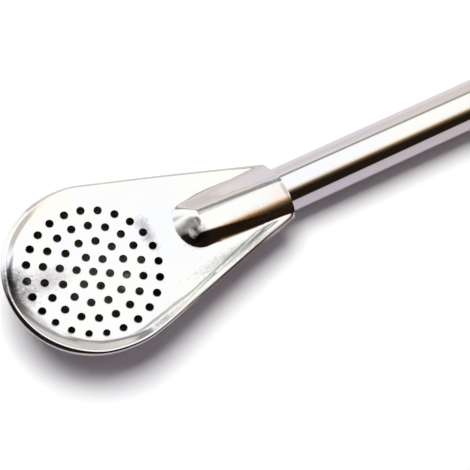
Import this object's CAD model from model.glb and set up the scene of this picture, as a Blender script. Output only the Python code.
import math
import bpy
import numpy as np
from mathutils import Matrix, Vector
from mathutils.geometry import delaunay_2d_cdt


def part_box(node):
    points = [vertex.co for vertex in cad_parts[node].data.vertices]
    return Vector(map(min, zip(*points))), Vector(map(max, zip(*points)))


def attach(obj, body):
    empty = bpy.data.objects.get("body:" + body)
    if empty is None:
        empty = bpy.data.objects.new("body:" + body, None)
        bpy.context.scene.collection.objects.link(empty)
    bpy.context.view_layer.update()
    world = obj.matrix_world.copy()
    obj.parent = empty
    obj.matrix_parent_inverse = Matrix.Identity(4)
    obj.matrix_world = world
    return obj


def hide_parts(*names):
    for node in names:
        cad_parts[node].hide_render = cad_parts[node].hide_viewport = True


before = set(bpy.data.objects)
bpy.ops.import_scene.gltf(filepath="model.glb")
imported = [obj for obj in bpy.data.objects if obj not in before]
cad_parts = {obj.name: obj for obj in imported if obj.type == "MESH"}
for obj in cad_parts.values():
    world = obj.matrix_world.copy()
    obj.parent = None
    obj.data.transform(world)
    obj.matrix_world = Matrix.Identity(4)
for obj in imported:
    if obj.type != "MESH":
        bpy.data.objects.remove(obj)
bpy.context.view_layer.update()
mm = 0.001
tiny = 1e-9  # keeps a division off zero, and is the least area of a triangle


def toLinear(hexCode):
    parts = [int(hexCode[i:i + 2], 16) / 255 for i in (0, 2, 4)]
    return [c / 12.92 if c <= 0.04045 else ((c + 0.055) / 1.055) ** 2.4 for c in parts] + [1.0]


def addNode(tree, kind, settings=None, **links):
    node = tree.nodes.new(kind)
    for key, value in (settings or {}).items():
        if key == "stops":
            ramp = node.color_ramp
            for i, (at, colour) in enumerate(value):
                stop = ramp.elements[i] if i < 2 else ramp.elements.new(at)  # a new ramp has two stops
                stop.position = at
                stop.color = colour
        elif isinstance(key, int) or key in node.inputs:
            node.inputs[key].default_value = value
        else:
            setattr(node, key, value)
    for key, source in links.items():
        # i0, i1 and so on are inputs by number
        slot = int(key[1:]) if key[0] == "i" and key[1:].isdigit() else key.replace("_", " ")
        tree.links.new(source, node.inputs[slot])
    return node


# place of the head: its deck is tilted about the stem's end, as in the CAD
stemLow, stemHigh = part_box("stem_tube")
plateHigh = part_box("strainer_plate")[1]
head = {
    "tilt": 4.0,        # degrees between the deck and the stem
    "neckReach": 33.6,  # mm from the dish's middle to the neck's end
    "deckRise": 1.6,    # mm from the stem's axis up to the deck
    "neckX": plateHigh[0] / mm,
    "axisZ": (stemLow[2] + stemHigh[2]) / 2 / mm,
}
tilt = math.radians(head["tilt"])


def turnToWorld(dirs):
    d = np.asarray(dirs, float)
    c, s = math.cos(tilt), math.sin(tilt)
    return np.stack([d[:, 0] * c + d[:, 2] * s, d[:, 1], -d[:, 0] * s + d[:, 2] * c], 1)


def headToWorld(points):
    fromNeck = np.asarray(points, float) - (head["neckReach"], 0, -head["deckRise"])
    return (turnToWorld(fromNeck) + (head["neckX"], 0, head["axisZ"])) * mm


def stemAxis(x):
    return -head["deckRise"] + (x - head["neckReach"]) * math.tan(tilt)


# camera: solved from the strainer holes, the rim and the stem's two edges
view = {
    "elevation": 66.829, "azimuth": -133.115, "roll": 15.954,  # degrees
    "place": (-122.0, -72.84, 226.811),  # mm
    "focalPixels": 1500, "framePixels": 470, "sensor": 36.0,
    "clip": (0.01, 20),  # m
}


def makeCamera():
    el, az, roll = (math.radians(view[k]) for k in ("elevation", "azimuth", "roll"))
    back = Vector((math.cos(el) * math.cos(az), math.cos(el) * math.sin(az), math.sin(el)))
    level = (-back).cross(Vector((0, 0, 1))).normalized()
    right = Matrix.Rotation(roll, 3, back) @ level
    up = back.cross(right)
    bpy.ops.object.camera_add()
    cam = bpy.context.object
    cam.name = "camera"
    cam.data.sensor_width = view["sensor"]
    cam.data.lens = view["sensor"] * view["focalPixels"] / view["framePixels"]
    cam.data.clip_start, cam.data.clip_end = view["clip"]
    turn = Matrix((right, up, back)).transposed().to_4x4()
    cam.matrix_world = Matrix.Translation(Vector(view["place"]) * mm) @ turn
    bpy.context.scene.camera = cam


bpy.ops.object.select_all(action="DESELECT")
makeCamera()
print("camera placed")


# smooth joins of two press forms, k is the length over which they blend
def softMax(a, b, k):
    h = np.clip(0.5 + 0.5 * (a - b) / k, 0, 1)
    return b + (a - b) * h + k * h * (1 - h)


def softMin(a, b, k):
    return -softMax(-a, -b, k)


def softStep(lo, hi, x):
    t = np.clip((x - lo) / (hi - lo), 0, 1)
    return t * t * (3 - 2 * t)


def between(pair, share):
    return pair[0] + (pair[1] - pair[0]) * share


# the outline that both stampings share, in mm, with the dish's middle at 0
outline = {
    "frontR": 14.35, "neckHalf": 5.11,
    "endGap": 0.1,       # the stampings stop this short of the neck's end
    "cornerR": 0.7, "cornerLeast": 0.05, "cornerPoints": 7,  # rounded wing corners at the neck's end
    "step": 0.3, "loopGap": 0.2, "fillGap": 0.25,  # spacing of mesh points, and their gaps at the neck's end
    "fillLow": (-15, -15), "fillHigh": (34, 15),
    "rowShare": 0.866,   # height of an even triangle
    "holeSides": 28,
}
slope = math.atan2(head["neckReach"], outline["neckHalf"]) - math.acos(
    outline["frontR"] / math.hypot(head["neckReach"], outline["neckHalf"]))


def outlineLoop(inset, step):
    r = outline["frontR"] - inset
    end = head["neckReach"] - outline["endGap"]
    corner = max(outline["cornerR"] - inset, outline["cornerLeast"])
    start, far = math.pi / 2 - slope, 1.5 * math.pi + slope  # where the sides touch the round front
    angles = np.linspace(start, far, int(round(r * (far - start) / step)) + 1)
    arc = np.stack([r * np.cos(angles), r * np.sin(angles)], 1)
    # corner centre: corner away from the side line and from the end line
    cx = end - corner
    cy = (r - corner - cx * math.sin(slope)) / math.cos(slope)
    turn = np.linspace(start, 0, outline["cornerPoints"])  # from the side's normal to the end's
    upper = np.stack([cx + corner * np.cos(turn), cy + corner * np.sin(turn)], 1)
    n = int(np.linalg.norm(arc[0] - upper[0]) / step)
    side = arc[0] + (upper[0] - arc[0]) * (np.arange(1, n) / n)[:, None]
    half = np.concatenate([side, upper])
    m = max(int(2 * cy / step), 2)
    across = np.stack([np.full(m - 1, end), cy - 2 * cy * np.arange(1, m) / m], 1)
    lower = half[::-1] * (1, -1)
    return np.concatenate([arc[::-1], half, across, lower])  # arc ends at the upper tangent point


def edgeDistance(x, y):
    # distance inside the outline, from the round front and the two straight sides
    ay = np.abs(y)
    sideGap = outline["frontR"] - (x * math.sin(slope) + ay * math.cos(slope))
    roundGap = outline["frontR"] - np.hypot(x, y)
    onFront = x * math.cos(slope) - ay * math.sin(slope) < 0
    return np.where(onFront, roundGap, sideGap)


# strainer plate, in mm. A pair of places is where a change begins and where it is full.
# Near and far are the sides towards and away from the camera, low and left are as in its picture
plate = {
    "sheet": 0.5,
    "underFrom": 1.08,  # from here inwards the lower skin follows the rim's wall
    # rim: an outer fall and an inner wall that meet at a crest
    "crestHigh": 0.30, "crestSoft": 0.28, "crestIn": 0.38, "outerFall": 0.85, "innerFall": 0.32,
    "rimSoft": 0.22, "rimEndX": (27, 32), "rollWide": 0.12, "rollDeep": 0.10,
    # changes round the rim: how much, towards which side, where it begins and is full
    "crestFront": (0.12, (-0.966, -0.259), 0.50, 0.95), "crestFar": (0.28, (-0.643, 0.766), 0.60, 0.90),
    "crestLow": (0.15, (-0.839, -0.545), 0.75, 0.97), "fallFar": (0.26, (-0.643, 0.766), 0.70, 0.95),
    "fallLeft": (0.08, (-1, 0), 0.75, 0.95), "fallLow": (0.15, (-0.839, -0.545), 0.80, 0.95),
    "softLeft": (0.30, (-0.985, -0.174), 0.75, 0.95),
    "fallEase": 0.12, "easeX": (-2, 4), "easeY": (-3, 3), "fallNear": 0.07, "fallNearX": (-4, 3),
    # near wing: its rim is broader and flatter, and its edge is turned down at the neck
    "wingX": (6, 16), "nearY": (0, -4), "wingCrest": 0.40, "wingFall": 0.50, "wingRollWide": 0.18, "wingRollDeep": 0.08,
    "turnX": (23, 31), "turnEdge": (0.965, 1.0), "turnDown": (0.5, 0.5), "turnRollDeep": 0.12,
    # dish and holes
    "floorR": 11.8, "dishDeep": 0.62, "dishCrown": 0.33, "dishWide": 0.72,
    "dishFrom": 10.6, "dishTo": 12.7, "dishFade": 3.0, "fadeOver": (0.3, 0.9), "fadePast": 1.0,
    "holeR": 0.66, "holePitch": 2.6, "holeRings": 4, "holeTurn": 30, "holeShift": (-0.22, -0.27),
    "holeLess": 0.09, "holeLessTo": (-0.6, -0.8), "holeLessOver": (7.0, 10.5),  # smaller holes at the near front
    "holeLip": 0.2, "lipDrop": 0.04,
    # channel, at its nose and at the neck's end
    "crown": (1.9, 2.95), "crownY": (-0.1, -0.75), "farR": (5.0, 4.4), "nearR": (6.5, 4.7),
    "farTurn": (1.6, 1.6), "nearTurn": (2.4, 3.8), "farFlank": (0.66, 0.80), "nearFlank": (0.8, 2.2),
    "facetSlope": 0.294, "facetWide": 0.5, "nearBend": 1.0, "nearBendR": 4.2,
    "shoulderFar": 0.16, "shoulderNear": 0.25,
    "footFar": 0.40, "footNear": 1.3, "footY": (-1, 1), "footNose": 0.08, "footNoseX": (20.5, 17.5),
    # nose: it starts further back on its near side, and is fuller and steeper there
    "noseX": (18.0, 18.75), "noseSlant": (1.6, 3.6), "noseFall": 0.46, "noseTip": 0.25,
    "noseSkirt": 0.62, "noseEdge": 4.40, "noseFrom": (2.1, 3.4),
    "stemR": 4.02, "stemX": 18.5, "thin": 0.03,  # the lower skin hugs the stem
    # small faults of the pressing: an outline not quite true, and a neck turned about the stem
    "squeeze": 0.22, "squeezeR": 14.0, "squeezeBend": 4,
    "squeezeStart": (-14, -8), "squeezeTurn": (-2, 9), "squeezeEnd": (9, 17),
    "twist": 0.13, "twistFrom": 17.0, "twistBend": 1.2, "twistLean": 0.05, "leanOver": 2,
    # mesh: loops inside the edge, rings round a hole, an even spread, and a finer one for the channel
    "insets": (0, 0.05, 0.1, 0.18, 0.3, 0.42, 0.54, 0.64, 0.74, 0.84, 0.96, 1.1, 1.28, 1.5, 1.75, 2.05),
    "rings": (0, 0.06, 0.14, 0.26), "holeClear": 1.02,
    "wideStep": 0.42, "wideGap": 2.25,
    "fineStep": 0.2, "fineGap": 2.2, "fineLow": (13, -7), "fineHigh": (34, 7), "fineX": 13.2, "fineHalf": 6.5,
}


def holeCentres():
    out = [(0.0, 0.0)]
    for ring in range(1, plate["holeRings"] + 1):
        r = ring * plate["holePitch"]
        for i in range(6 * ring):
            a = math.radians(plate["holeTurn"] + 60 * i / ring)
            out.append((r * math.cos(a), r * math.sin(a)))
    return np.array(out) + plate["holeShift"]


holes = holeCentres()
holeRadii = plate["holeR"] - plate["holeLess"] * softStep(*plate["holeLessOver"], holes @ plate["holeLessTo"])


def distances(x, y, centres):
    return np.hypot(x[:, None] - centres[None, :, 0], y[:, None] - centres[None, :, 1])


def headTwist(x, y):
    # the pressed neck sits a few degrees turned about the stem, the near wing up
    share = np.clip((x - plate["twistFrom"]) / (head["neckReach"] - plate["twistFrom"]), 0, 1)
    lean = plate["twist"] - plate["twistLean"] * np.tanh(y / plate["leanOver"])
    return -lean * y * share ** plate["twistBend"]


def channelSection(share, across):
    # a crown with a narrow facet on the far side and a broad near side, and a flank on each
    crown, farR, nearR, farTurn, nearTurn, farFlank, nearFlank = (
        between(plate[k], share)
        for k in ("crown", "farR", "nearR", "farTurn", "nearTurn", "farFlank", "nearFlank"))
    facetSlope, facetWide, nearBend = (plate[k] for k in ("facetSlope", "facetWide", "nearBend"))
    facet = np.clip(across - facetSlope * farR, 0, facetWide)
    bend = across - facet
    tighter = (1 / plate["nearBendR"] - 1 / nearR) / 2  # the near side bends more before its flank
    eased = np.clip(-across - nearTurn + nearBend, 0, None) ** 2 * tighter
    top = crown - facetSlope * facet - bend ** 2 / (2 * np.where(across > 0, farR, nearR)) - eased
    farSide = (crown - facetSlope * facetWide - farTurn ** 2 / (2 * farR)
               - farFlank * (across - facetWide - farTurn))
    nearSide = (crown - nearTurn ** 2 / (2 * nearR) - nearBend ** 2 * tighter
                - nearFlank * (-across - nearTurn))
    return softMin(softMin(top, farSide, plate["shoulderFar"]), nearSide, plate["shoulderNear"])


def channelHeight(x, y):
    noseFar, noseNear = plate["noseX"]
    share = np.clip((x - noseFar) / (head["neckReach"] - noseFar), 0, 1)
    side = y - between(plate["crownY"], share)
    along = x - noseNear + (noseNear - noseFar) * softStep(*plate["noseSlant"], side)
    body = channelSection(share, side)
    # nose: the section swung round the channel's closed end, and laid back to a blunt cone in front
    spread = np.sqrt(along ** 2 + side ** 2) + tiny
    front = (along / spread) ** 2
    swung = channelSection(share, np.sign(side) * spread)
    tip = plate["noseTip"]
    cone = between(plate["crown"], share) - plate["noseFall"] * (np.sqrt(spread ** 2 + tip ** 2) - tip)
    nose = front * cone + (1 - front) * swung
    # a skirt fills it out between its front and its near side
    skirt = plate["noseSkirt"] * (plate["noseEdge"] - spread)
    onSkirt = np.where(side < 0, 4 * front * (1 - front), 0) * softStep(*plate["noseFrom"], spread)
    nose = nose + (skirt - nose) * onSkirt
    return np.where(along < 0, nose, body)


def settle(points):
    # the outline is drawn in along the near side, out where the taper starts, and turned down at the neck
    x, y = points[:, 0], points[:, 1]
    out = np.array(points, float)
    share = ((1 - 2 * softStep(*plate["squeezeTurn"], x)) * (1 - softStep(*plate["squeezeEnd"], x))
             * softStep(*plate["squeezeStart"], x))
    out[:, 1] += plate["squeeze"] * share * (np.minimum(y, 0) / plate["squeezeR"]) ** plate["squeezeBend"]
    half = (outline["frontR"] - x * math.sin(slope)) / math.cos(slope)
    turned = softStep(*plate["turnEdge"], -y / half) * softStep(*plate["turnX"], x)
    out[:, 1:] -= np.outer(turned, plate["turnDown"])
    return out


def rimChange(name, x, y):
    amount, (towardsX, towardsY), start, full = plate[name]
    return amount * softStep(start, full, (x * towardsX + y * towardsY) / outline["frontR"])


def nearWing(x, y):
    return softStep(*plate["wingX"], x) * softStep(*plate["nearY"], y)


def plateForm(x, y):
    d = edgeDistance(x, y)
    twist = headTwist(x, y)
    wing = nearWing(x, y)
    # deck: the dish is sunk in it and the channel stands on it
    ahead = np.maximum(x, 0)
    floor = plate["dishCrown"] * (np.hypot(x, y) / plate["floorR"]) ** 2 - plate["dishDeep"]
    reach = np.hypot(ahead, plate["dishWide"] * y)
    fade = plate["dishFade"] * softStep(*plate["fadeOver"], np.abs(y) / (ahead + plate["fadePast"]))
    deck = floor * (1 - softStep(plate["dishFrom"], plate["dishTo"] + fade, reach)) + twist
    foot = between((plate["footNear"], plate["footFar"]), softStep(*plate["footY"], y))
    foot = between((foot, plate["footNose"]), softStep(*plate["footNoseX"], x))
    deck = softMax(deck, channelHeight(x, y), foot)
    # rim
    crestIn = (plate["crestIn"] + plate["wingCrest"] * wing + rimChange("crestFront", x, y)
               + rimChange("crestFar", x, y) + rimChange("crestLow", x, y))
    outer = plate["crestHigh"] - (plate["outerFall"] - plate["wingFall"] * wing) * (crestIn - d)
    eased = softStep(*plate["easeX"], x) * softStep(*plate["easeY"], y)
    nearSide = softStep(*plate["fallNearX"], x) * softStep(*plate["nearY"], y)
    fall = (plate["innerFall"] - plate["fallEase"] * eased + plate["fallNear"] * nearSide
            + rimChange("fallFar", x, y) + rimChange("fallLeft", x, y) + rimChange("fallLow", x, y))
    inner = plate["crestHigh"] - fall * (d - crestIn)
    ridge = softMin(outer, inner, plate["crestSoft"]) + plate["crestSoft"] / 4  # a quarter is what the blend takes off
    ridge = ridge - plate["crestHigh"] * softStep(*plate["rimEndX"], x) + twist
    return deck, ridge, d


def plateTop(x, y):
    deck, ridge, d = plateForm(x, y)
    z = softMax(deck, ridge, plate["rimSoft"] + rimChange("softLeft", x, y))
    # the cut edge is rolled over, and more so on the near wing
    wing = nearWing(x, y)
    rollWide = plate["rollWide"] + plate["wingRollWide"] * wing
    rollMore = plate["wingRollDeep"] + plate["turnRollDeep"] * softStep(*plate["turnX"], x)
    z = z - (plate["rollDeep"] + rollMore * wing) * np.clip((rollWide - d) / rollWide, 0, 1) ** 2
    gap = np.min(distances(x, y, holes) - holeRadii, 1)
    lip = np.clip(1 - gap / plate["holeLip"], 0, 1)
    return z - plate["lipDrop"] * lip ** 2


def plateUnder(x, y):
    deck, ridge, d = plateForm(x, y)
    rim = headTwist(x, y) - plate["sheet"] - plate["innerFall"] * np.maximum(d - plate["underFrom"], 0)
    under = np.maximum(deck - plate["sheet"], rim)
    # pressed thinner where it hugs the stem
    hug = stemAxis(x) + np.sqrt(np.maximum(plate["stemR"] ** 2 - y ** 2, 0))
    return np.where(x > plate["stemX"], np.minimum(np.maximum(under, hug), deck - plate["thin"]), under)


def formNormals(form, x, y, flip):
    h = 0.004  # mm, for the slopes
    gx = (form(x + h, y) - form(x - h, y)) / (2 * h)
    gy = (form(x, y + h) - form(x, y - h)) / (2 * h)
    n = np.stack([-gx, -gy, np.ones_like(gx)], 1)
    n /= np.linalg.norm(n, axis=1)[:, None]
    return -n if flip else n


def scatter(low, high, step, keep):
    # hexagonal spread of points between two corners
    rows = []
    for j, y in enumerate(np.arange(low[1], high[1], step * outline["rowShare"])):
        xs = np.arange(low[0], high[0], step) + (j % 2) * step / 2
        rows.append(np.stack([xs, np.full_like(xs, y)], 1))
    pts = np.concatenate(rows)
    return pts[keep(pts[:, 0], pts[:, 1])]


def insideLoop(loop, pts):
    x, y = pts[:, 0], pts[:, 1]
    inside = np.zeros(len(pts), bool)
    x1, y1 = loop[-1]
    for x2, y2 in loop:
        cross = (y1 > y) != (y2 > y)
        with np.errstate(divide="ignore", invalid="ignore"):
            at = (x2 - x1) * (y - y1) / (y2 - y1) + x1
        inside ^= cross & (x < at)
        x1, y1 = x2, y2
    return inside


def layOut(insets, cuts, cutR, rings, spreads):
    # flat triangles inside the head's outline, clear of the round cuts
    merge, withinCut = 1e-5, 0.995
    edge = outlineLoop(insets[0], outline["step"])
    inner = [outlineLoop(i, outline["step"]) for i in insets[1:]]
    loops = [edge] + [loop[loop[:, 0] < head["neckReach"] - outline["loopGap"]] for loop in inner]
    turn = np.arange(outline["holeSides"]) * 2 * math.pi / outline["holeSides"]
    unit = np.stack([np.cos(turn), np.sin(turn)], 1)
    for c, size in zip(cuts, cutR):
        loops += [c + unit * (size + r) for r in rings]
    # the outer edge and each cut's own edge are kept as edges
    closed = [0] + [len(insets) + i * len(rings) for i in range(len(cuts))]
    edges = []
    base = 0
    for i, loop in enumerate(loops):
        n = len(loop)
        if i in closed:
            edges += [(base + j, base + (j + 1) % n) for j in range(n)]
        base += n
    flat = np.concatenate(loops + spreads)
    verts, _, faces, _, _, _ = delaunay_2d_cdt([Vector(p) for p in flat], edges, [], 0, merge)
    xy = np.array([v[:] for v in verts])
    tris = np.array([f for f in faces if len(f) == 3])
    mid = xy[tris].mean(1)
    keep = insideLoop(edge, mid)
    if len(cuts):
        keep &= np.all(distances(mid[:, 0], mid[:, 1], cuts) > cutR * withinCut, 1)
    tris = tris[keep]
    ab = xy[tris[:, 1]] - xy[tris[:, 0]]
    ac = xy[tris[:, 2]] - xy[tris[:, 0]]
    area = ab[:, 0] * ac[:, 1] - ab[:, 1] * ac[:, 0]
    tris[area < 0] = tris[area < 0][:, ::-1]
    tris = tris[np.abs(area) > tiny]
    used = np.unique(tris)
    index = np.full(len(xy), -1)
    index[used] = np.arange(len(used))
    return xy[used], index[tris]


def borderEdges(tris):
    edges = dict.fromkeys(e for a, b, c in tris.tolist() for e in ((a, b), (b, c), (c, a)))
    return [e for e in edges if (e[1], e[0]) not in edges]


def pressedPiece(name, xy, tris, topPoints, topNormals, lowPoints, lowNormals):
    # a stamped sheet: an upper skin, a lower skin and the cut edges between them
    n = len(xy)
    verts = np.concatenate([headToWorld(settle(topPoints)), headToWorld(settle(lowPoints))])
    skinNormals = np.concatenate([turnToWorld(topNormals), turnToWorld(lowNormals)])
    faces = tris.tolist() + [[c + n, b + n, a + n] for a, b, c in tris.tolist()]
    loopNormals = [skinNormals[v] for f in faces for v in f]
    border = borderEdges(tris)
    wallNormal = {}
    for a, b in border:
        e = xy[b] - xy[a]
        out = np.array([e[1], -e[0], 0]) / (np.linalg.norm(e) + tiny)
        for v in (a, b):
            wallNormal[v] = wallNormal.get(v, 0) + out
    turned = turnToWorld([v / (np.linalg.norm(v) + tiny) for v in wallNormal.values()])
    wallNormal = dict(zip(wallNormal, turned))
    for a, b in border:
        faces.append([b, a, a + n, b + n])
        loopNormals += [wallNormal[v] for v in (b, a, a, b)]
    mesh = bpy.data.meshes.new(name)
    mesh.from_pydata(verts.tolist(), [], faces)
    mesh.polygons.foreach_set("use_smooth", [True] * len(mesh.polygons))
    mesh.normals_split_custom_set([tuple(v) for v in loopNormals])
    piece = bpy.data.objects.new(name, mesh)
    bpy.context.scene.collection.objects.link(piece)
    return piece


def makePlate():
    def onChannel(x, y):
        return (x >= plate["fineX"]) & (np.abs(y) <= plate["fineHalf"])

    def inDish(x, y):
        clear = np.min(distances(x, y, holes), 1) > plate["holeClear"]
        return (edgeDistance(x, y) > plate["wideGap"]) & clear & ~onChannel(x, y)

    def inNeck(x, y):
        short = x < head["neckReach"] - outline["fillGap"]
        return (edgeDistance(x, y) > plate["fineGap"]) & short & onChannel(x, y)

    wide = scatter(outline["fillLow"], outline["fillHigh"], plate["wideStep"], inDish)
    fine = scatter(plate["fineLow"], plate["fineHigh"], plate["fineStep"], inNeck)
    xy, tris = layOut(plate["insets"], holes, holeRadii, plate["rings"], [wide, fine])
    x, y = xy[:, 0], xy[:, 1]
    top = np.stack([x, y, plateTop(x, y)], 1)
    low = np.stack([x, y, plateUnder(x, y)], 1)
    piece = pressedPiece("strainerPlate", xy, tris, top, formNormals(plateTop, x, y, False),
                         low, formNormals(plateUnder, x, y, True))
    print("strainer plate:", len(tris) * 2, "triangles")
    return piece


# bowl shell, in mm: balls that shrink towards the throat, a keel under the stem, and a flange under the rim
bowl = {
    "sheet": 0.5, "parting": -0.5, "depth": 8.3,
    "ballR": 15.392, "throatR": 2.0, "throatX": 25.62, "throatZ": -2.158, "balls": 60, "clearZ": 5.0,
    "keelR": 4.55, "keelSoft": 1.6, "keelFrom": 5,
    "flangeSoft": 0.35, "flangeWide": 0.5, "edgeWide": 0.1, "edgeRise": 0.08,
    "tuck": 0.12,  # its edge lies this far inside the plate's
    "insets": (0, 0.05, 0.1, 0.2, 0.3, 0.4, 0.5, 0.6, 0.7, 0.82, 0.95, 1.1, 1.3, 1.55, 1.9),
    "fillStep": 0.36, "fillGap": 2.1,
}


def roundUnder(middle, room):
    # lower side of a round form, or well above the bowl where there is none
    return np.where(room > 0, middle - np.sqrt(np.maximum(room, 0)), bowl["clearZ"])


def bowlUnder(x, y):
    d = edgeDistance(x, y)
    ballZ = bowl["parting"] - bowl["depth"] + bowl["ballR"]
    form = np.full_like(x, bowl["clearZ"])
    for share in np.linspace(0, 1, bowl["balls"]):
        r = between((bowl["ballR"], bowl["throatR"]), share)
        room = r * r - (x - bowl["throatX"] * share) ** 2 - y ** 2
        form = np.minimum(form, roundUnder(between((ballZ, bowl["throatZ"]), share), room))
    keel = roundUnder(stemAxis(x), bowl["keelR"] ** 2 - y ** 2)
    form = np.where(x > bowl["keelFrom"], softMin(form, keel, bowl["keelSoft"]), form)
    flange = np.full_like(x, bowl["parting"] - bowl["sheet"])
    atEdge = np.clip((bowl["tuck"] + bowl["edgeWide"] - d) / bowl["edgeWide"], 0, 1)
    return softMin(form, flange, bowl["flangeSoft"]) + bowl["edgeRise"] * atEdge ** 2 + headTwist(x, y)


def makeBowl():
    def inside(x, y):
        return (edgeDistance(x, y) > bowl["fillGap"]) & (x < head["neckReach"] - outline["fillGap"])

    insets = [bowl["tuck"] + i for i in bowl["insets"]]
    fill = scatter(outline["fillLow"], outline["fillHigh"], bowl["fillStep"], inside)
    xy, tris = layOut(insets, np.zeros((0, 2)), [], (), [fill])
    x, y = xy[:, 0], xy[:, 1]
    low = np.stack([x, y, bowlUnder(x, y)], 1)
    lowNormals = formNormals(bowlUnder, x, y, True)
    top = low - lowNormals * bowl["sheet"]
    seam = bowl["parting"] + headTwist(x, y)
    top[:, 2] = np.minimum(top[:, 2], seam)
    onFlange = edgeDistance(x, y) < bowl["flangeWide"]
    top[onFlange] = np.stack([x, y, seam], 1)[onFlange]
    piece = pressedPiece("bowlShell", xy, tris, top, -lowNormals, low, lowNormals)
    print("bowl shell:", len(tris) * 2, "triangles")
    return piece


# stem tube, in mm: round, and flattened into a mouth at its far end
stem = {
    "radius": 4.0, "wall": 0.5, "sides": 96,
    "mouthHigh": 5.4, "mouthLong": 14.0, "blendLong": 24.0, "blendCuts": 17, "flatness": 6,
    "endCut": 0.6, "lip": 0.12, "lipSteps": 3,
    "lipAngle": 50, "smoothAngle": 35,  # degrees
}


def makeStem():
    x0, x1 = stemLow[0] / mm, stemHigh[0] / mm
    flatX = x1 - stem["mouthLong"]
    blendX = flatX - stem["blendLong"]
    radius, flatness = stem["radius"], stem["flatness"]
    bpy.ops.mesh.primitive_cylinder_add(
        vertices=stem["sides"], radius=radius * mm, depth=(x1 - x0) * mm, end_fill_type="NOTHING",
        location=((x0 + x1) / 2 * mm, 0, head["axisZ"] * mm), rotation=(0, math.pi / 2, 0))
    tube = bpy.context.object
    tube.name = "stemTube"
    bpy.ops.object.transform_apply(location=True, rotation=True, scale=True)
    bpy.ops.object.mode_set(mode="EDIT")
    ends = [x0 + stem["endCut"], x1 - stem["endCut"], (x0 + blendX) / 2]
    for at in list(np.linspace(blendX, flatX, stem["blendCuts"])) + ends:
        bpy.ops.mesh.select_all(action="SELECT")
        bpy.ops.mesh.bisect(plane_co=(at * mm, 0, 0), plane_no=(1, 0, 0))
    bpy.ops.object.mode_set(mode="OBJECT")
    for v in tube.data.vertices:
        high = between((radius, stem["mouthHigh"] / 2), softStep(blendX, flatX, v.co.x / mm))
        wide = high + (radius - high) * math.pi / 2  # the wall's length round the tube stays the same
        y, z = v.co.y / mm / radius, (v.co.z / mm - head["axisZ"]) / radius
        flat = (wide - high) * math.tanh(flatness * y) / math.tanh(flatness)
        v.co.y = (flat + high * y) * mm
        v.co.z = (head["axisZ"] + high * z) * mm
    wall = tube.modifiers.new("wall", "SOLIDIFY")
    wall.thickness = stem["wall"] * mm
    wall.offset = -1
    bpy.ops.object.modifier_apply(modifier="wall")
    lip = tube.modifiers.new("lip", "BEVEL")
    lip.width = stem["lip"] * mm
    lip.segments = stem["lipSteps"]
    lip.limit_method = "ANGLE"
    lip.angle_limit = math.radians(stem["lipAngle"])
    bpy.ops.object.modifier_apply(modifier="lip")
    bpy.ops.object.shade_smooth_by_angle(angle=math.radians(stem["smoothAngle"]))
    print("stem tube:", len(tube.data.polygons), "faces")
    return tube


strainerPlate = makePlate()
bowlShell = makeBowl()
bpy.ops.object.select_all(action="DESELECT")
stemTube = makeStem()


def startSteel(name):
    # bare metal, with the piece's own coordinates in mm
    mat = bpy.data.materials.new(name)
    mat.use_nodes = True
    tree = mat.node_tree
    shader = tree.nodes["Principled BSDF"]
    shader.inputs["Metallic"].default_value = 1.0
    place = addNode(tree, "ShaderNodeTexCoord")
    inMm = addNode(tree, "ShaderNodeMapping", {"Scale": (1 / mm,) * 3}, Vector=place.outputs["Object"])
    return mat, tree, shader, inMm.outputs[0]


# stainless sheet, pressed and buffed: a bright mirror with a faint orange-peel ripple, buffing lines along the
# head, hazy finger smears, and a straw heat tint at the neck's end
sheetFinish = {
    "warm": "d9d8d3", "cool": "d4d6d9", "mottle": (0.35, 0.65), "cloud": 9.0, "cloudRough": 0.55,  # sizes in mm
    "smearLong": 14.0, "smearWide": 3.0, "smearTurn": 0.5, "smearOver": (0.42, 0.75), "smooth": 0.05, "hazy": 0.17,
    "tint": "e3bd92", "tintAt": (-48.5, -2.4, 7.2), "tintR": (0.8, 4.0), "tintMost": 0.55, "tintPatch": (0.40, 0.60),
    # hazes and stains: place, half size, colour, share, turn
    "hazes": (((-88.4, 1.2, 9.0), (5.5, 2.6, 6.0), "9f98a2", 0.8, 0.0),     # finger marks in the dish
              ((-70.3, 2.0, 8.0), (1.6, 4.0, 6.0), "87848a", 0.95, 0.0),    # at the dish's edge
              ((-92.8, 2.2, 9.4), (3.2, 4.4, 6.0), "4c484c", 0.95, 0.0),    # at the front of the rim
              ((-54.5, -3.1, 8.7), (9.0, 1.5, 3.0), "d8a55e", 0.85, 0.0),   # straw along the near flank
              ((-47.4, -1.5, 8.6), (0.65, 2.6, 3.0), "5a4030", 0.85, 0.0),  # burnt end of the neck
              ((-58.6, -7.1, 7.4), (11.0, 1.7, 3.0), "8f8f86", 0.85, 0.09),  # a dull streak across the near wing
              ((-63.6, -2.4, 8.6), (2.3, 1.9, 4.0), "2c1c18", 0.97, 0.0)),  # near side of the nose
    "hazeRagged": 1.2, "hazeGrit": 0.9, "hazeOver": (1.95, 1.0), "grit": 2.2,
    "dishAt": (-80.6, 0, 0), "ringFrom": (11.6, 12.1), "ringWide": 0.34, "ringDeep": 0.004,  # turned rings on the wall
    "ripple": 1.7, "rippleDeep": 0.010,
    "lineLong": 7.0, "lineWide": 0.30, "lineDeep": 0.0022,  # drawn coarser than the real 0.05 mm, to show
}


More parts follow.
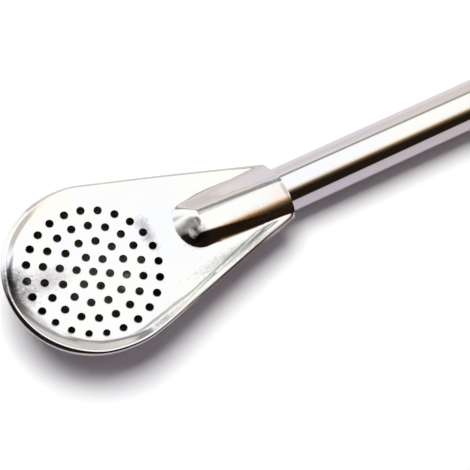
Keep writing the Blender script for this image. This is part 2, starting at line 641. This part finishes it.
def makeSheetSteel():
    f = sheetFinish
    mat, tree, shader, inMm = startSteel("polishedSheetSteel")
    cloud = addNode(tree, "ShaderNodeTexNoise", {
        "Scale": 1 / f["cloud"], "Detail": 4.0, "Roughness": f["cloudRough"]}, Vector=inMm)
    smearMap = addNode(tree, "ShaderNodeMapping", {
        "Scale": (1 / f["smearLong"], 1 / f["smearWide"], 1 / f["smearWide"]), "Rotation": (0, 0, f["smearTurn"])},
        Vector=inMm)
    smear = addNode(tree, "ShaderNodeTexNoise", {"Scale": 1.0, "Detail": 5.0, "Roughness": 0.6},
                    Vector=smearMap.outputs[0])
    # colour: a faint mottle, the straw tint, then each haze over what is there
    share = addNode(tree, "ShaderNodeMapRange", {"From Min": f["mottle"][0], "From Max": f["mottle"][1]},
                    Value=cloud.outputs[0])
    mottle = addNode(tree, "ShaderNodeMix", {"data_type": "RGBA", 6: toLinear(f["warm"]), 7: toLinear(f["cool"])},
                     i0=share.outputs[0])
    fromJoint = addNode(tree, "ShaderNodeVectorMath", {"operation": "DISTANCE", 1: f["tintAt"]}, i0=inMm)
    nearJoint = addNode(tree, "ShaderNodeMapRange", {
        "From Min": f["tintR"][1], "From Max": f["tintR"][0], "To Max": f["tintMost"]},
        Value=fromJoint.outputs["Value"])
    patches = addNode(tree, "ShaderNodeMapRange", {"From Min": f["tintPatch"][0], "From Max": f["tintPatch"][1]},
                      Value=smear.outputs[0])
    tintShare = addNode(tree, "ShaderNodeMath", {"operation": "MULTIPLY"},
                        i0=nearJoint.outputs[0], i1=patches.outputs[0])
    colour = addNode(tree, "ShaderNodeMix", {"data_type": "RGBA", 7: toLinear(f["tint"])},
                     i0=tintShare.outputs[0], i6=mottle.outputs[2])
    grit = addNode(tree, "ShaderNodeTexNoise", {"Scale": f["grit"], "Detail": 2.0}, Vector=inMm)
    for at, size, shade, most, turn in f["hazes"]:
        hazeMap = addNode(tree, "ShaderNodeMapping", {
            "vector_type": "TEXTURE", "Location": at, "Scale": size, "Rotation": (0, 0, turn)}, Vector=inMm)
        reach = addNode(tree, "ShaderNodeVectorMath", {"operation": "LENGTH"}, i0=hazeMap.outputs[0])
        ragged = addNode(tree, "ShaderNodeMath", {"operation": "MULTIPLY_ADD", 1: f["hazeRagged"]},
                         i0=smear.outputs[0], i2=reach.outputs["Value"])
        specked = addNode(tree, "ShaderNodeMath", {"operation": "MULTIPLY_ADD", 1: f["hazeGrit"]},
                          i0=grit.outputs[0], i2=ragged.outputs[0])
        dulled = addNode(tree, "ShaderNodeMapRange", {
            "From Min": f["hazeOver"][0], "From Max": f["hazeOver"][1], "To Max": most}, Value=specked.outputs[0])
        colour = addNode(tree, "ShaderNodeMix", {"data_type": "RGBA", 7: toLinear(shade)},
                         i0=dulled.outputs[0], i6=colour.outputs[2])
    tree.links.new(colour.outputs[2], shader.inputs["Base Color"])
    haze = addNode(tree, "ShaderNodeMapRange", {
        "From Min": f["smearOver"][0], "From Max": f["smearOver"][1], "To Min": f["smooth"], "To Max": f["hazy"]},
        Value=smear.outputs[0])
    tree.links.new(haze.outputs[0], shader.inputs["Roughness"])
    # relief: ripple, buffing lines, and turned rings on the rim's wall
    ripple = addNode(tree, "ShaderNodeTexNoise", {"Scale": 1 / f["ripple"], "Detail": 2.0}, Vector=inMm)
    dents = addNode(tree, "ShaderNodeBump", {"Strength": 1.0, "Distance": f["rippleDeep"] * mm},
                    Height=ripple.outputs[0])
    lineMap = addNode(tree, "ShaderNodeMapping", {
        "Scale": (1 / f["lineLong"], 1 / f["lineWide"], 1 / f["lineWide"])}, Vector=inMm)
    lines = addNode(tree, "ShaderNodeTexNoise", {"Scale": 1.0, "Detail": 3.0, "Roughness": 0.6},
                    Vector=lineMap.outputs[0])
    buffed = addNode(tree, "ShaderNodeBump", {"Strength": 1.0, "Distance": f["lineDeep"] * mm},
                     Height=lines.outputs[0], Normal=dents.outputs[0])
    fromDish = addNode(tree, "ShaderNodeVectorMath", {"operation": "SUBTRACT", 1: f["dishAt"]}, i0=inMm)
    flat = addNode(tree, "ShaderNodeVectorMath", {"operation": "MULTIPLY", 1: (1, 1, 0)}, i0=fromDish.outputs[0])
    radius = addNode(tree, "ShaderNodeVectorMath", {"operation": "LENGTH"}, i0=flat.outputs[0])
    rings = addNode(tree, "ShaderNodeTexNoise", {
        "noise_dimensions": "1D", "Scale": 1 / f["ringWide"], "Detail": 3.0}, W=radius.outputs["Value"])
    onWall = addNode(tree, "ShaderNodeMapRange", {"From Min": f["ringFrom"][0], "From Max": f["ringFrom"][1]},
                     Value=radius.outputs["Value"])
    ringed = addNode(tree, "ShaderNodeBump", {"Distance": f["ringDeep"] * mm}, Height=rings.outputs[0],
                     Strength=onWall.outputs[0], Normal=buffed.outputs[0])
    tree.links.new(ringed.outputs[0], shader.inputs["Normal"])
    return mat


# drawn stainless tube: brighter mirror than the sheet, with fine straight lines along its length
tubeFinish = {
    "warm": "d9d7d3", "cool": "d4d5d8", "mottle": (0.35, 0.65), "cloud": 16.0,  # sizes in mm
    "smearLong": 9.0, "smearWide": 2.5, "smearOver": (0.42, 0.75), "smooth": 0.045, "hazy": 0.12,
    "lineLong": 40.0, "lineWide": 0.35, "lineDeep": 0.0010,  # coarser than real, to show
}


def makeTubeSteel():
    f = tubeFinish
    mat, tree, shader, inMm = startSteel("drawnTubeSteel")
    cloud = addNode(tree, "ShaderNodeTexNoise", {"Scale": 1 / f["cloud"], "Detail": 4.0}, Vector=inMm)
    share = addNode(tree, "ShaderNodeMapRange", {"From Min": f["mottle"][0], "From Max": f["mottle"][1]},
                    Value=cloud.outputs[0])
    colour = addNode(tree, "ShaderNodeMix", {"data_type": "RGBA", 6: toLinear(f["warm"]), 7: toLinear(f["cool"])},
                     i0=share.outputs[0])
    tree.links.new(colour.outputs[2], shader.inputs["Base Color"])
    smearMap = addNode(tree, "ShaderNodeMapping", {
        "Scale": (1 / f["smearLong"], 1 / f["smearWide"], 1 / f["smearWide"])}, Vector=inMm)
    smear = addNode(tree, "ShaderNodeTexNoise", {"Scale": 1.0, "Detail": 5.0, "Roughness": 0.6},
                    Vector=smearMap.outputs[0])
    haze = addNode(tree, "ShaderNodeMapRange", {
        "From Min": f["smearOver"][0], "From Max": f["smearOver"][1], "To Min": f["smooth"], "To Max": f["hazy"]},
        Value=smear.outputs[0])
    tree.links.new(haze.outputs[0], shader.inputs["Roughness"])
    lineMap = addNode(tree, "ShaderNodeMapping", {
        "Scale": (1 / f["lineLong"], 1 / f["lineWide"], 1 / f["lineWide"])}, Vector=inMm)
    lines = addNode(tree, "ShaderNodeTexNoise", {"Scale": 1.0, "Detail": 3.0, "Roughness": 0.6},
                    Vector=lineMap.outputs[0])
    drawn = addNode(tree, "ShaderNodeBump", {"Strength": 1.0, "Distance": f["lineDeep"] * mm}, Height=lines.outputs[0])
    tree.links.new(drawn.outputs[0], shader.inputs["Normal"])
    return mat


# the sheet's unseen side: pressed but never buffed, a dull grey with brown tea stains
insideFinish = {
    "plain": "8d857c", "stain": "5a4a38", "patch": 3.5, "stainOver": (0.4, 0.65), "smooth": 0.22, "rough": 0.5,
    "grain": 0.25, "grainDeep": 0.002,  # sizes in mm
    "turned": 0.3,  # faces turned this much to the inside have it
}


def makeInsideSteel():
    f = insideFinish
    mat, tree, shader, inMm = startSteel("unbuffedSteel")
    patch = addNode(tree, "ShaderNodeTexNoise", {"Scale": 1 / f["patch"], "Detail": 5.0, "Roughness": 0.6}, Vector=inMm)
    share = addNode(tree, "ShaderNodeMapRange", {"From Min": f["stainOver"][0], "From Max": f["stainOver"][1]},
                    Value=patch.outputs[0])
    colour = addNode(tree, "ShaderNodeMix", {"data_type": "RGBA", 6: toLinear(f["plain"]), 7: toLinear(f["stain"])},
                     i0=share.outputs[0])
    tree.links.new(colour.outputs[2], shader.inputs["Base Color"])
    dull = addNode(tree, "ShaderNodeMapRange", {"To Min": f["smooth"], "To Max": f["rough"]}, Value=share.outputs[0])
    tree.links.new(dull.outputs[0], shader.inputs["Roughness"])
    grain = addNode(tree, "ShaderNodeTexNoise", {"Scale": 1 / f["grain"], "Detail": 2.0}, Vector=inMm)
    bump = addNode(tree, "ShaderNodeBump", {"Strength": 1.0, "Distance": f["grainDeep"] * mm}, Height=grain.outputs[0])
    tree.links.new(bump.outputs[0], shader.inputs["Normal"])
    return mat


sheetSteel = makeSheetSteel()
tubeSteel = makeTubeSteel()
insideSteel = makeInsideSteel()
stemTube.data.materials.append(tubeSteel)
for stamping, inwards in ((strainerPlate, -1), (bowlShell, 1)):
    stamping.data.materials.append(sheetSteel)
    stamping.data.materials.append(insideSteel)
    for face in stamping.data.polygons:
        if face.normal.z * inwards > insideFinish["turned"]:
            face.material_index = 1
print("materials on")

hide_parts("strainer_plate")
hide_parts("bowl_shell")
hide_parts("stem_tube")
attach(strainerPlate, "head")
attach(bowlShell, "head")
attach(stemTube, "stem")

# studio: an overhead panel, and the room that the metal mirrors, white but dark behind the camera
room = {
    "white": (1.45, 1.45, 1.45, 1), "creamWhite": (1.45, 1.38, 1.24, 1), "far": (0.96, 0.88, 0.87, 1),
    "cream": (1.12, 1.03, 0.97, 1), "dusk": (0.38, 0.355, 0.34, 1), "seam": (0.42, 0.41, 0.38, 1),
    "sand": (1.12, 0.97, 0.79, 1), "bronze": (0.32, 0.22, 0.13, 1), "umber": (0.10, 0.064, 0.03, 1),
    "grey": (0.46, 0.435, 0.42, 1), "ash": (0.23, 0.205, 0.195, 1), "dark": (0.02, 0.013, 0.008, 1),
    "pale": (0.80, 0.79, 0.78, 1), "skirt": (0.86, 0.79, 0.80, 1),
    # walls left and right of the camera, from -1 far away to 1 behind it
    "leftWall": ((-0.88, "far"), (-0.82, "cream"), (-0.785, "cream"), (-0.765, "seam"), (-0.705, "seam"),
                 (-0.685, "white"), (-0.14, "white"), (0.02, "grey"), (0.10, "ash"), (0.22, "dark"),
                 (0.90, "dark"), (0.97, "pale")),
    "rightWall": ((-0.88, "far"), (-0.83, "dusk"), (-0.75, "dusk"), (-0.63, "white"), (-0.15, "white"),
                  (-0.01, "creamWhite"), (0.09, "sand"), (0.19, "bronze"), (0.28, "umber"), (0.37, "dark"),
                  (0.90, "dark"), (0.97, "pale")),
    "wallsMeet": (-0.3, 0.3), "corner": (0.55, 1.0), "cornerTurn": 0.22,
    "ceilingFrom": (0.85, 0.93), "skirtFrom": (0.08, 0.0),  # heights
    # things that stand in it: direction, how near to it they begin and are full, colour, and an edge along y
    "things": (((0.74, -0.36, 0.57), (0.94, 0.98), (0.86, 0.78, 0.69, 1), None),                # a wooden door
               ((0.83, 0.18, 0.528), (0.955, 0.998), (0.10, 0.095, 0.095, 1), (0.02, 0.07)),    # a dark stand
               ((0.191, 0.643, 0.742), (0.991, 0.9985), (0.70, 0.71, 0.64, 1), None)),          # a lamp's foot
    "fill": (0.225, 0.198, 0.238, 1),  # what the table gets of the room's own light
    "panelHigh": 1.6, "panelAt": (-0.14, 0.56), "panelSide": 1.0, "panelGlow": 10.0,  # m, radiance
}


def makeRoom():
    world = bpy.data.worlds.new("room")
    bpy.context.scene.world = world
    world.use_nodes = True
    tree = world.node_tree
    towards = addNode(tree, "ShaderNodeTexCoord").outputs["Generated"]
    parts = addNode(tree, "ShaderNodeSeparateXYZ", i0=towards)
    az = math.radians(view["azimuth"])
    near = addNode(tree, "ShaderNodeVectorMath", {"operation": "DOT_PRODUCT", 1: (math.cos(az), math.sin(az), 0)},
                   i0=towards)
    side = addNode(tree, "ShaderNodeVectorMath", {"operation": "DOT_PRODUCT", 1: (-math.sin(az), math.cos(az), 0)},
                   i0=towards)
    corner = addNode(tree, "ShaderNodeMapRange", {
        "From Min": room["corner"][0], "From Max": room["corner"][1], "To Max": room["cornerTurn"]},
        Value=side.outputs["Value"])
    turned = addNode(tree, "ShaderNodeMath", {"operation": "ADD"}, i0=near.outputs["Value"], i1=corner.outputs[0])
    share = addNode(tree, "ShaderNodeMapRange", {"From Min": -1.0, "From Max": 1.0}, Value=turned.outputs[0])
    left, right = (addNode(tree, "ShaderNodeValToRGB", {"stops": [((1 + at) / 2, room[c]) for at, c in room[wall]]},
                           Fac=share.outputs[0]) for wall in ("leftWall", "rightWall"))
    onRight = addNode(tree, "ShaderNodeMapRange", {
        "From Min": room["wallsMeet"][0], "From Max": room["wallsMeet"][1]}, Value=side.outputs["Value"])
    mirrored = addNode(tree, "ShaderNodeMix", {"data_type": "RGBA"}, i0=onRight.outputs[0],
                       i6=left.outputs[0], i7=right.outputs[0])
    for at, over, colour, edge in room["things"]:
        toThing = addNode(tree, "ShaderNodeVectorMath", {"operation": "DOT_PRODUCT", 1: at}, i0=towards)
        shows = addNode(tree, "ShaderNodeMapRange", {"From Min": over[0], "From Max": over[1]},
                        Value=toThing.outputs["Value"])
        if edge:
            past = addNode(tree, "ShaderNodeMapRange", {"From Min": edge[0], "From Max": edge[1]},
                           Value=parts.outputs["Y"])
            shows = addNode(tree, "ShaderNodeMath", {"operation": "MULTIPLY"}, i0=shows.outputs[0], i1=past.outputs[0])
        mirrored = addNode(tree, "ShaderNodeMix", {"data_type": "RGBA", 7: colour}, i0=shows.outputs[0],
                           i6=mirrored.outputs[2])
    for heights, colour in ((room["ceilingFrom"], room["white"]), (room["skirtFrom"], room["skirt"])):
        reached = addNode(tree, "ShaderNodeMapRange", {"From Min": heights[0], "From Max": heights[1]},
                          Value=parts.outputs["Z"])
        mirrored = addNode(tree, "ShaderNodeMix", {"data_type": "RGBA", 7: colour}, i0=reached.outputs[0],
                           i6=mirrored.outputs[2])
    path = addNode(tree, "ShaderNodeLightPath")
    dimmed = addNode(tree, "ShaderNodeMix", {"data_type": "RGBA", "blend_type": "MULTIPLY", 0: 1.0, 7: room["fill"]},
                     i6=mirrored.outputs[2])
    lit = addNode(tree, "ShaderNodeMix", {"data_type": "RGBA"}, i0=path.outputs["Is Glossy Ray"],
                  i6=dimmed.outputs[2], i7=mirrored.outputs[2])
    shown = addNode(tree, "ShaderNodeMix", {"data_type": "RGBA", 7: (1, 1, 1, 1)}, i0=path.outputs["Is Camera Ray"],
                    i6=lit.outputs[2])
    tree.links.new(shown.outputs[2], tree.nodes["Background"].inputs["Color"])
    bpy.ops.object.light_add(type="AREA", location=(*room["panelAt"], room["panelHigh"]))
    lamp = bpy.context.object
    lamp.name = "overheadPanel"
    lamp.data.shape = "SQUARE"
    lamp.data.size = room["panelSide"]
    lamp.data.energy = room["panelGlow"] * math.pi * room["panelSide"] ** 2
    lamp.visible_glossy = False  # the metal mirrors the room's white strip instead, below clipping


# white paper on the table: matte, it takes the shadow near the part and fades to plain white further out
table = {
    "size": 8, "paper": (0.98, 0.99, 0.98, 1), "rough": 0.9,
    "mirroredFar": (0.90, 0.86, 0.88, 1), "mirroredNear": (0.70, 0.63, 0.69, 1),  # as the metal shows it
    "halves": (-0.01, 0.01), "whiteFrom": (0.25, 0.8),  # m
}


def makeTable():
    bpy.ops.object.select_all(action="DESELECT")
    bpy.ops.mesh.primitive_plane_add(size=table["size"])
    floor = bpy.context.object
    floor.name = "table"
    mat = bpy.data.materials.new("whitePaper")
    mat.use_nodes = True
    tree = mat.node_tree
    shader = tree.nodes["Principled BSDF"]
    shader.inputs["Roughness"].default_value = table["rough"]
    shader.inputs["Specular IOR Level"].default_value = 0.0
    path = addNode(tree, "ShaderNodeLightPath")
    place = addNode(tree, "ShaderNodeTexCoord")
    parts = addNode(tree, "ShaderNodeSeparateXYZ", i0=place.outputs["Object"])
    farSide = addNode(tree, "ShaderNodeMapRange", {"From Min": table["halves"][0], "From Max": table["halves"][1]},
                      Value=parts.outputs["Y"])
    mirrored = addNode(tree, "ShaderNodeMix", {
        "data_type": "RGBA", 6: table["mirroredNear"], 7: table["mirroredFar"]}, i0=farSide.outputs[0])
    paper = addNode(tree, "ShaderNodeMix", {"data_type": "RGBA", 6: table["paper"]}, i0=path.outputs["Is Glossy Ray"],
                    i7=mirrored.outputs[2])
    tree.links.new(paper.outputs[2], shader.inputs["Base Color"])
    away = addNode(tree, "ShaderNodeVectorMath", {"operation": "LENGTH"}, i0=place.outputs["Object"])
    fading = addNode(tree, "ShaderNodeMapRange", {
        "From Min": table["whiteFrom"][0], "From Max": table["whiteFrom"][1]}, Value=away.outputs["Value"])
    toWhite = addNode(tree, "ShaderNodeMath", {"operation": "MULTIPLY"}, i0=fading.outputs[0],
                      i1=path.outputs["Is Camera Ray"])
    white = addNode(tree, "ShaderNodeEmission", {"Color": (1, 1, 1, 1), "Strength": 1.0})
    mixed = addNode(tree, "ShaderNodeMixShader", i0=toWhite.outputs[0], i1=shader.outputs[0], i2=white.outputs[0])
    tree.links.new(mixed.outputs[0], tree.nodes["Material Output"].inputs["Surface"])
    floor.data.materials.append(mat)


makeRoom()
makeTable()
scene = bpy.context.scene
scene.view_settings.view_transform = "Standard"
print("room lit")
